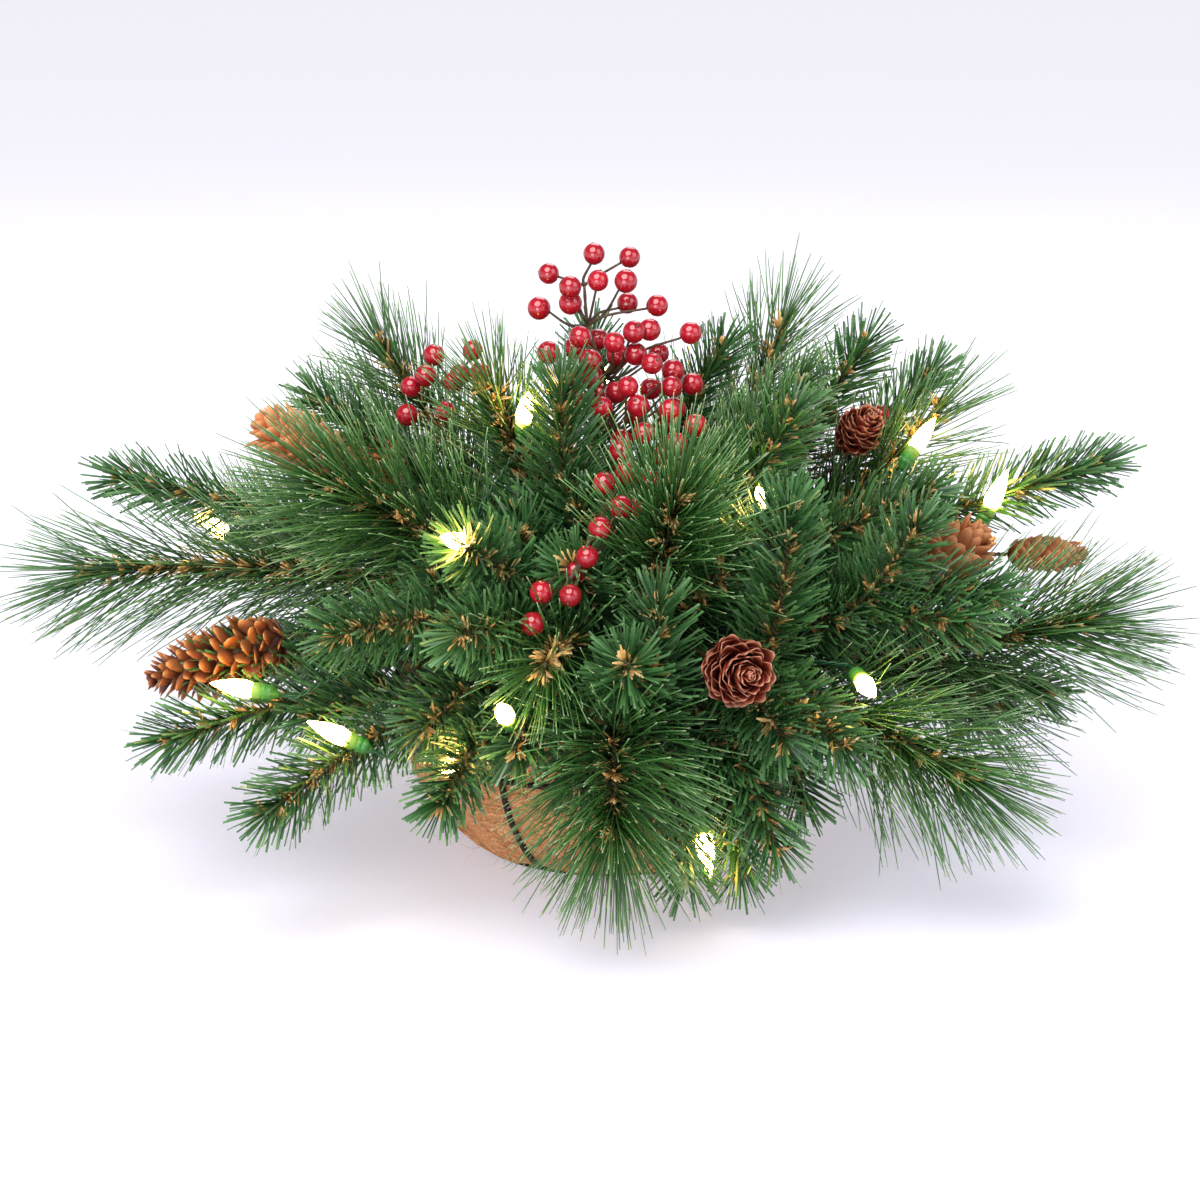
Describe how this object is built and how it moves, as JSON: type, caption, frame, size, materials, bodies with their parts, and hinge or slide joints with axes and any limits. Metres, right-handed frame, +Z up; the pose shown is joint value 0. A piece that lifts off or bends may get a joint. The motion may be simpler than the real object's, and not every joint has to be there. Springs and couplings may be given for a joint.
{
  "type": "artificial tabletop pine arrangement",
  "caption": "Low mound of artificial pine branches with cones, red berries and warm lamps, in a coir-lined wire basket with a hidden battery box.",
  "frame": {"origin": "middle of the flat underside of the coir-lined basket, on the surface it stands on", "axes": "+Z up; -Y towards the front; +X to the right as seen from the front"},
  "size_m": [0.5908, 0.4645, 0.3137],
  "materials": {
    "basket_wire": "satin",
    "coir": "matte",
    "foam": "matte",
    "long_needle": "satin",
    "short_needle": "satin",
    "stem_wire": "matte",
    "cone_scale": "matte",
    "berry": "gloss",
    "cord": "satin",
    "lamp_cap": "gloss",
    "battery_plastic": "matte",
    "button": "satin",
    "cell_jacket": "gloss"
  },
  "bodies": {
    "arrangement": {"aa_cell_1": "cell_jacket", "aa_cell_2": "cell_jacket", "battery_case": "battery_plastic", "berry_spray_front": "berry", "berry_spray_left": "berry", "berry_spray_right": "berry", "berry_spray_top": "berry", "coir_liner": "coir", "cone_back": "cone_scale", "cone_far_right": "cone_scale", "cone_front": "cone_scale", "cone_inner_left": "cone_scale", "cone_left": "cone_scale", "cone_right": "cone_scale", "cone_top_right": "cone_scale", "cone_upper_left": "cone_scale", "foam_block": "foam", "led_cap_back": "lamp_cap", "led_cap_front": "lamp_cap", "led_cap_front_right": "lamp_cap", "led_cap_left": "lamp_cap", "led_cap_low_front": "lamp_cap", "led_cap_low_left": "lamp_cap", "led_cap_right": "lamp_cap", "led_cap_upper_front": "lamp_cap", "led_cap_upper_left": "lamp_cap", "led_cap_upper_right": "lamp_cap", "light_string": "cord", "long_branch_back": "long_needle", "long_branch_back_left": "long_needle", "long_branch_back_right": "long_needle", "long_branch_front_left": "long_needle", "long_branch_front_middle": "long_needle", "long_branch_left_stem_root": "stem_wire", "long_branch_low_front": "long_needle", "long_branch_low_right_stem_root": "stem_wire", "long_branch_right_stem_root": "stem_wire", "long_branch_tall_left": "long_needle", "long_branch_tall_right": "long_needle", "long_branch_top_left": "long_needle", "long_branch_top_right": "long_needle", "long_branch_upper_left": "long_needle", "long_branch_upper_right": "long_needle", "short_branch_back_left": "short_needle", "short_branch_centre": "short_needle", "short_branch_front_low": "short_needle", "short_branch_front_right": "short_needle", "short_branch_left_middle": "short_needle", "short_branch_low_front_left": "short_needle", "short_branch_low_front_right": "short_needle", "short_branch_low_left": "short_needle", "short_branch_right": "short_needle", "short_branch_right_middle": "short_needle", "short_branch_upper_left": "short_needle", "wire_basket": "basket_wire"},
    "battery_cover": {"battery_cover": "battery_plastic"},
    "long_branch_left": {"long_branch_left": "long_needle"},
    "long_branch_low_right": {"long_branch_low_right": "long_needle"},
    "long_branch_right": {"long_branch_right": "long_needle"},
    "timer_button": {"timer_button": "button"}
  },
  "joints": [
    {"name": "long_branch_left_bend", "type": "hinge", "parent": "arrangement", "child": "long_branch_left", "pos_m": [-0.0756, -0.00529, 0.12496], "axis": [-0.0698, 0.9976, 0], "range_deg": [-6, 6]},
    {"name": "long_branch_low_right_bend", "type": "hinge", "parent": "arrangement", "child": "long_branch_low_right", "pos_m": [0.08094, -0.06324, 0.09699], "axis": [-0.6157, -0.788, 0], "range_deg": [-6, 6]},
    {"name": "long_branch_right_bend", "type": "hinge", "parent": "arrangement", "child": "long_branch_right", "pos_m": [0.09913, -0.02107, 0.10044], "axis": [-0.2079, -0.9781, 0], "range_deg": [-6, 6]},
    {"name": "battery_cover_slide", "type": "slide", "parent": "arrangement", "child": "battery_cover", "axis": [0, 1, 0], "range_m": [0, 0.03]},
    {"name": "timer_button_press", "type": "slide", "parent": "arrangement", "child": "timer_button", "axis": [0, 0, -1], "range_m": [0, 0.0012], "stiffness_N_per_m": 800}
  ]
}
